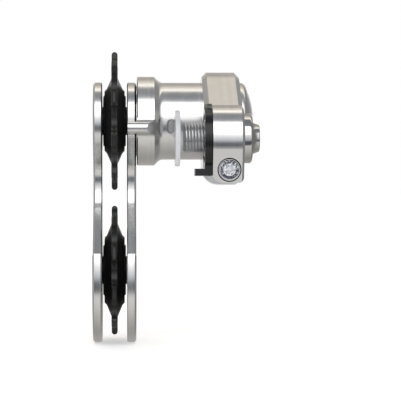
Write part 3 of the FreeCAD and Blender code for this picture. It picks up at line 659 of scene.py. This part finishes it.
swing = tuple(places["cage_pivot"])
low_axle = tuple(places["lower_pulley_spin"])
aluminium = (0.83, 0.83, 0.82)
steel = (0.70, 0.70, 0.69)
housing_finish = turned_metal("turned_aluminium", swing, aluminium, 0.22)
bolt_finish = turned_metal("turned_bolt_steel", (0, 0, 0), (0.63, 0.63, 0.62), 0.08, 2e-6)
upper_steel = turned_metal("upper_axle_steel", swing, steel, 0.2)
lower_steel = turned_metal("lower_axle_steel", low_axle, steel, 0.2)
upper_ring_steel = turned_metal("upper_ring_steel", swing, (0.66, 0.66, 0.66), 0.12, 5e-7)
lower_ring_steel = turned_metal("lower_ring_steel", low_axle, (0.66, 0.66, 0.66), 0.12, 5e-7)
spring_finish = turned_metal("spring_steel", swing, (0.66, 0.66, 0.67), 0.45)
bolt_ring_finish = turned_metal("ring_spring_steel", (0, 0, 0), (0.42, 0.42, 0.43), 0.3)
bushing_finish = turned_metal("sintered_bronze", swing, (0.55, 0.38, 0.2), 0.4)
print("turned finishes made")

# %% [markdown]
# ## Milled metal
# An end mill leaves straight fine lines along its path. On the bracket and on the cage plates' edges they run
# round the contour, so the pattern changes quickly along X and slowly along Y and Z. The lines could be
# modelled, but they are far thinner than a pixel, so bumps and small changes in gloss and colour are enough.

# %% Milled finishes
def milled_metal(name, stretch, centre, colour, roughness, depth=6e-6):
    """Bare metal with fine lines. A large stretch along an axis sets lines close together along it."""
    material = new_finish(name, colour, 1.0, roughness)
    place = object_place(material, centre)
    fine = noise(material, place, stretch, 3.0)
    coarse = noise(material, place, tuple(s / 3 for s in stretch), 2.0)
    cloud = noise(material, place, (140, 140, 140), 4.0)
    lines = add(material, "Math", {0: fine, 1: coarse}, operation="ADD")
    plug(material, "Normal", bump(material, lines, depth))
    wear_and_colour(material, cloud, coarse, colour, roughness)
    return material


bracket_finish = milled_metal("milled_bracket", (3600, 60, 60), (0, 0, 0), aluminium, 0.2)
plate_finish = milled_metal("milled_plate", (3300, 40, 40), swing, aluminium, 0.22)
# The outer plate gets a copy of its own, because its edge beside the housing gets painted shade further down.
outer_plate_painted_shade_finish = milled_metal("milled_outer_plate_painted_shade", (3300, 40, 40), swing, aluminium, 0.22)
print("milled finishes made")

# %% [markdown]
# ## Plastics, coated steel, zinc and rubber
# Moulded plastic has a very fine orange-peel surface and slightly uneven gloss. The coated stop washer is
# a little smoother, and the rubber of the bearing seals is dull.

# %% The other finishes
def skinned(name, colour, metallic, roughness, grain, depth, **sockets):
    """A finish with a fine grainy skin and slightly uneven gloss."""
    material = new_finish(name, colour, metallic, roughness, **sockets)
    place = object_place(material)
    skin = noise(material, place, (grain, grain, grain), 2.0)
    cloud = noise(material, place, (220, 220, 220), 4.0)
    plug(material, "Normal", bump(material, skin, depth))
    plug(material, "Roughness", spread(material, cloud, roughness * 0.85, roughness * 1.2))
    light = tuple(min(1.0, c * 1.15) for c in colour)
    plug(material, "Base Color", mix(material, cloud, colour, light))
    return material


low_gloss = 0.4
wheel_finish = skinned("moulded_black", (0.011, 0.011, 0.011), 0.0, 0.32, 2600, 2e-6,
                       Specular_IOR_Level=low_gloss)
dust_cap_finish = skinned("dust_cap_black", (0.01, 0.01, 0.011), 0.0, 0.3, 3000, 2e-6,
                          Specular_IOR_Level=low_gloss)
washer_finish = skinned("coated_black", (0.008, 0.008, 0.009), 0.0, 0.22, 3800, 3e-6,
                        Specular_IOR_Level=low_gloss)
retainer_finish = skinned("moulded_white", (0.8, 0.8, 0.77), 0.0, 0.4, 2600, 2e-6)
seal_finish = skinned("black_rubber", (0.02, 0.02, 0.02), 0.0, 0.6, 3400, 4e-6)
print("skinned finishes made")

# %% [markdown]
# ## Zinc crystals and clear plastic
# The zinc coat is a crust of small crystals. Its skin gets a fine bump with more depth than the plastics
# have, and the dark specks in a ring on its head are mixed in further down, with the painted shade. The
# transit cap is see-through in its thin sleeve, where the thread shows, and milky in its thick disc, so the
# share of light that it lets through depends on the place along X.

# %% Two finishes of their own
def along(material, axis):
    """The place along one axis, 0 for X, 1 for Y and 2 for Z."""
    split = material.node_tree.nodes.new("ShaderNodeSeparateXYZ")
    material.node_tree.links.new(object_place(material), split.inputs[0])
    return split.outputs[axis]


zinc_finish = skinned("bright_zinc", (0.8, 0.81, 0.83), 1.0, 0.15, 2600, 8e-6)
clear_finish = skinned("clear_plastic", (0.6, 0.61, 0.64), 0.0, 0.1, 1800, 2e-6, Specular_IOR_Level=0.8)
disc_face = disc_end + disc_width
disc_alpha = 0.8
sleeve_alpha = 0.13
milk = add(clear_finish, "MapRange", {"Value": along(clear_finish, 0), "From Min": disc_face * mm,
                                      "From Max": (disc_face + 0.5) * mm,
                                      "To Min": disc_alpha, "To Max": sleeve_alpha})
plug(clear_finish, "Alpha", milk)
print("zinc and clear plastic made")

# %% [markdown]
# ## Painted shade in the gaps
# Narrow gaps and hollows look dark because little light reaches them, and here that shade is painted into the
# colour. Four finishes mix
# a dark colour in by place: painted shade in the bracket's counterbore round the clamp screw, dark specks in
# a ring on that screw's head, painted shade in its socket and in the roots of the bolt's thread, and painted
# shade on the plate's edge where it faces the housing. The place is a distance from an axis, or a position
# along one.

# %% Helpers for painting a dark colour in
def away_from(material, centre, keep):
    """Distance from a line through the centre, with keep 0 along the line and 1 across it."""
    flat = add(material, "VectorMath", {0: object_place(material, centre), 1: keep}, operation="MULTIPLY")
    measure = material.node_tree.nodes.new("ShaderNodeVectorMath")
    measure.operation = "LENGTH"
    material.node_tree.links.new(flat, measure.inputs[0])
    return measure.outputs["Value"]


def rise(material, value, low, high):
    """0 below low millimetres, 1 above high, and an even slope between. Swap the two for a fall."""
    if low < high:
        return add(material, "MapRange", {"Value": value, "From Min": low * mm, "From Max": high * mm})
    return add(material, "MapRange", {"Value": value, "From Min": high * mm, "From Max": low * mm,
                                      "To Min": 1.0, "To Max": 0.0})


def both(material, one, other):
    """1 where both shares are 1."""
    return add(material, "Math", {0: one, 1: other}, operation="MULTIPLY")


# The dark colour mixed in here is painted shade in gaps, hollows and thread roots, and dark specks on a screw
# head.
def mix_in_painted_dark(material, share, dirt=(0.03, 0.028, 0.026)):
    """Mix a dark colour into a finish where the share is 1."""
    shader = material.node_tree.nodes["Principled BSDF"]
    undarkened = shader.inputs["Base Color"].links[0].from_socket
    plug(material, "Base Color", mix(material, share, undarkened, dirt))


# %% Paint in the shade and the specks
screw_line = tuple((clamp_low + clamp_high) / 2)
across_y = (1, 0, 1)
across_x = (0, 1, 1)
plate_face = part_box("outer_cage_plate")[1].x / mm
flange_reach = 15.8

# Painted shade: the bracket is darkened within 3.8 mm of the clamp screw's axis, in its counterbore and bore.
bore_gap = away_from(bracket_finish, screw_line, across_y)
mix_in_painted_dark(bracket_finish, rise(bracket_finish, bore_gap, 3.9, 3.8))

# Dark specks are mixed into a ring about 2 to 3 mm from the clamp screw's axis, on its head's face.
ring_place = away_from(zinc_finish, screw_line, across_y)
ring = both(zinc_finish, rise(zinc_finish, ring_place, 1.9, 2.1), rise(zinc_finish, ring_place, 3.05, 2.85))
specks = noise(zinc_finish, object_place(zinc_finish), (1700, 1700, 1700), 1.0)
mix_in_painted_dark(zinc_finish, both(zinc_finish, ring, spread(zinc_finish, specks, 1.7, 0.1)), (0.08, 0.08, 0.1))
# Painted shade: inside the socket, deeper than about 0.4 mm below the head's face, a dark colour is mixed in
# patches.
socket = both(zinc_finish, rise(zinc_finish, ring_place, 2.0, 1.8),
              rise(zinc_finish, along(zinc_finish, 1), clamp_low.y / mm + 0.2, clamp_low.y / mm + 0.4))
mix_in_painted_dark(zinc_finish, both(zinc_finish, socket, spread(zinc_finish, specks, 0.9, -0.4)), (0.1, 0.11, 0.12))

# Painted shade: on the threaded end the bolt is darkened in the thread's roots, closer than 4.5 to 4.85 mm to
# its axis.
thread_depth = away_from(bolt_finish, (0, 0, 0), across_x)
roots = both(bolt_finish, rise(bolt_finish, thread_depth, 4.85, 4.5),
             rise(bolt_finish, along(bolt_finish, 0), 0.1, 0))
mix_in_painted_dark(bolt_finish, roots, (0.06, 0.065, 0.07))

# Painted shade: the outer plate's last 0.35 to 0.55 mm before its outer face is darkened within 15.5 to 15.8
# mm of the swing axis, beside the flange.
gap_reach = away_from(outer_plate_painted_shade_finish, swing, across_x)
gap_edge = rise(outer_plate_painted_shade_finish, along(outer_plate_painted_shade_finish, 0), plate_face - 0.55, plate_face - 0.35)
mix_in_painted_dark(outer_plate_painted_shade_finish, both(outer_plate_painted_shade_finish, gap_edge,
                               rise(outer_plate_painted_shade_finish, gap_reach, flange_reach, flange_reach - 0.3)))
print("dirt in four finishes; the plate's face is at x =", round(plate_face, 2), "mm")

# %% [markdown]
# ## Giving each piece its finish
# A CAD node keeps its mesh and only gets a new material in its slots. A piece made here gets one appended.

# %% Assign
finishes = {
    "bracket": bracket_finish, "spring_housing": housing_finish, "housing_end_cap": housing_finish,
    "inner_cage_plate": plate_finish, "outer_cage_plate": outer_plate_painted_shade_finish, "spring_driver": housing_finish,
    "stop_washer": washer_finish, "thrust_washer": upper_steel, "pivot_spindle": upper_steel,
    "spindle_retaining_ring": spring_finish, "torsion_spring": spring_finish,
    "bolt_retaining_ring": bolt_ring_finish, "inner_pivot_bushing": bushing_finish,
    "outer_pivot_bushing": bushing_finish, "lower_axle_sleeve": lower_steel,
    "hanger_bolt": bolt_finish, "transit_cap": clear_finish, "lug_screw": zinc_finish,
    "upper_plate_screw": upper_steel, "lower_plate_screw": lower_steel,
    "upper_tooth_wheel": wheel_finish, "lower_tooth_wheel": wheel_finish,
    "mounting_bolt": bolt_finish, "thread_protector": clear_finish, "clamp_screw": zinc_finish,
    "upper_axle_screw": upper_steel, "lower_axle_screw": lower_steel,
    "upper_pulley_wheel": wheel_finish, "lower_pulley_wheel": wheel_finish,
}
for level, ring_finish in (("upper", upper_ring_steel), ("lower", lower_ring_steel)):
    finishes[level + "_bearing_outer_ring"] = ring_finish
    finishes[level + "_bearing_inner_ring"] = ring_finish
    finishes[level + "_bearing_balls"] = ring_finish
    finishes[level + "_bearing_retainer"] = retainer_finish
    finishes[level + "_bearing_seals"] = seal_finish
    finishes[level + "_inner_dust_cap"] = dust_cap_finish
    finishes[level + "_outer_dust_cap"] = dust_cap_finish

for piece_name, finish in finishes.items():
    piece = bpy.data.objects[piece_name]
    if piece.material_slots:
        for material_slot in piece.material_slots:
            material_slot.material = finish
    else:
        piece.data.materials.append(finish)

# %% [markdown]
# ## The studio
# Bare metal shows little but its surroundings, so the room is a gradient wrapped round the X axis: white in
# front, a dark strip overhead with one warm lamp behind it, a beige wall and then a grey one behind, grey
# below, and a narrow dark band low in front. Each angle was set by asking which direction the metal mirrors
# at a place in the photograph, and how bright it is there. Near the ends of the axis the room fades to grey,
# sooner behind the object than in front. One soft box in front adds shape and a shadow.

# %% Light the room
world = bpy.data.worlds.new("studio")
world.use_nodes = True
bpy.context.scene.world = world
bpy.context.scene.view_settings.view_transform = "Standard"
room = world.node_tree
background = room.nodes["Background"]
room_strength = 1.5
background.inputs["Strength"].default_value = room_strength
bands = [
    (-180, (1.0, 1.0, 1.0)), (-178, (1.0, 1.0, 1.0)), (-175, (0.52, 0.50, 0.48)),
    (-135, (0.43, 0.41, 0.40)), (-105, (0.40, 0.39, 0.37)), (-75, (0.56, 0.55, 0.52)),
    (-50, (0.75, 0.74, 0.73)), (-37, (0.82, 0.81, 0.80)), (-31, (0.12, 0.12, 0.13)),
    (-16, (0.13, 0.14, 0.16)), (-12, (0.50, 0.52, 0.56)), (-4, (0.72, 0.74, 0.78)), (3, (0.90, 0.91, 0.93)),
    (10, (1.15, 1.15, 1.15)), (54, (1.3, 1.3, 1.3)), (59, (0.30, 0.31, 0.33)), (68, (0.30, 0.31, 0.34)),
    (77, (0.24, 0.25, 0.27)), (84, (0.28, 0.29, 0.30)), (96, (0.28, 0.28, 0.28)), (100, (1.5, 1.43, 1.32)),
    (109, (1.5, 1.43, 1.32)), (113, (0.80, 0.74, 0.66)), (124, (0.78, 0.72, 0.64)), (130, (0.46, 0.43, 0.40)),
    (150, (0.46, 0.43, 0.40)), (164, (0.60, 0.58, 0.55)), (169, (1.0, 1.0, 1.0)), (180, (1.0, 1.0, 1.0)),
]
left_shade = 0.4
right_shade = 0.24
behind_weight = 0.45
fade_from, fade_to = 0.68, 0.88


def room_node(kind, inputs, **settings):
    """Add a node to the world. Returns the node itself."""
    made = room.nodes.new("ShaderNode" + kind)
    for key, value in settings.items():
        setattr(made, key, value)
    for key, value in inputs.items():
        if isinstance(value, bpy.types.NodeSocket):
            room.links.new(value, made.inputs[key])
        else:
            made.inputs[key].default_value = value
    return made


direction = room_node("SeparateXYZ", {0: room.nodes.new("ShaderNodeTexCoord").outputs["Generated"]})
forward = room_node("Math", {0: direction.outputs[1], 1: -1.0}, operation="MULTIPLY")
angle = room_node("Math", {0: direction.outputs[2], 1: forward.outputs[0]}, operation="ARCTAN2")
turned = room_node("MapRange", {"Value": angle.outputs[0], "From Min": -math.pi, "From Max": math.pi})
ramp = room_node("ValToRGB", {0: turned.outputs[0]})
elements = ramp.color_ramp.elements
while len(elements) < len(bands):
    elements.new(0.5)
# All places come first, because a moved element can change its turn in the list.
for element, (degrees, _) in zip(elements, bands):
    element.position = degrees / 360 + 0.5
for element, (_, colour) in zip(elements, bands):
    element.color = (*[c / room_strength for c in colour], 1)
sideways = room_node("Math", {0: direction.outputs[0]}, operation="ABSOLUTE")
behind = room_node("Math", {0: direction.outputs[1], 1: 0.0}, operation="MAXIMUM")
widened = room_node("Math", {0: behind.outputs[0], 1: behind_weight, 2: sideways.outputs[0]},
                    operation="MULTIPLY_ADD")
fade = room_node("MapRange", {"Value": widened.outputs[0], "From Min": fade_from, "From Max": fade_to},
                 interpolation_type="SMOOTHSTEP")
sides = room_node("MapRange", {"Value": direction.outputs[0], "From Min": -1.0, "From Max": 1.0,
                               "To Min": left_shade / room_strength, "To Max": right_shade / room_strength})
blend = room_node("Mix", {0: fade.outputs[0]}, data_type="RGBA")
room.links.new(ramp.outputs[0], blend.inputs[6])
room.links.new(sides.outputs[0], blend.inputs[7])
room.links.new(blend.outputs[2], background.inputs["Color"])

box_data = bpy.data.lights.new("front_soft_box", "AREA")
box_data.shape = "RECTANGLE"
box_data.size, box_data.size_y = 1.2, 0.75
box_data.energy = 2.0
soft_box = bpy.data.objects.new("front_soft_box", box_data)
bpy.context.scene.collection.objects.link(soft_box)
soft_box.location = (-0.1, -0.75, 0.55)
soft_box.rotation_euler = (Vector((0, 0, -0.02)) - soft_box.location).to_track_quat("-Z", "Y").to_euler()
soft_box.visible_camera = False
print("room has", len(bands), "bands")

# %% [markdown]
# ## The floor
# The floor is one large plain plane just under the lowest piece. It glows a little, so that it comes out as
# pale as the photograph's ground and still takes a soft shadow. Metal doesn't mirror it, because the room
# already holds what the metal shows from below.

# %% Lay the floor
floor_gap = 0.2
floor_size = 12
bpy.ops.object.select_all(action="DESELECT")
bpy.ops.mesh.primitive_plane_add(size=floor_size, location=(0, 0, cad_box[0].z - floor_gap * mm))
floor = bpy.context.object
floor.name = "studio_floor"
bpy.ops.object.transform_apply(location=True, rotation=True, scale=True)
floor_finish = new_finish("pale_floor", (0.93, 0.93, 0.93), 0.0, 0.7, Emission_Strength=0.45,
                          Emission_Color=(1, 1, 1, 1))
floor_place = object_place(floor_finish)
floor_cloud = noise(floor_finish, floor_place, (3, 3, 3), 3.0)
plug(floor_finish, "Base Color", mix(floor_finish, floor_cloud, (0.92, 0.92, 0.92), (0.94, 0.94, 0.94)))
floor.data.materials.append(floor_finish)
floor.visible_glossy = False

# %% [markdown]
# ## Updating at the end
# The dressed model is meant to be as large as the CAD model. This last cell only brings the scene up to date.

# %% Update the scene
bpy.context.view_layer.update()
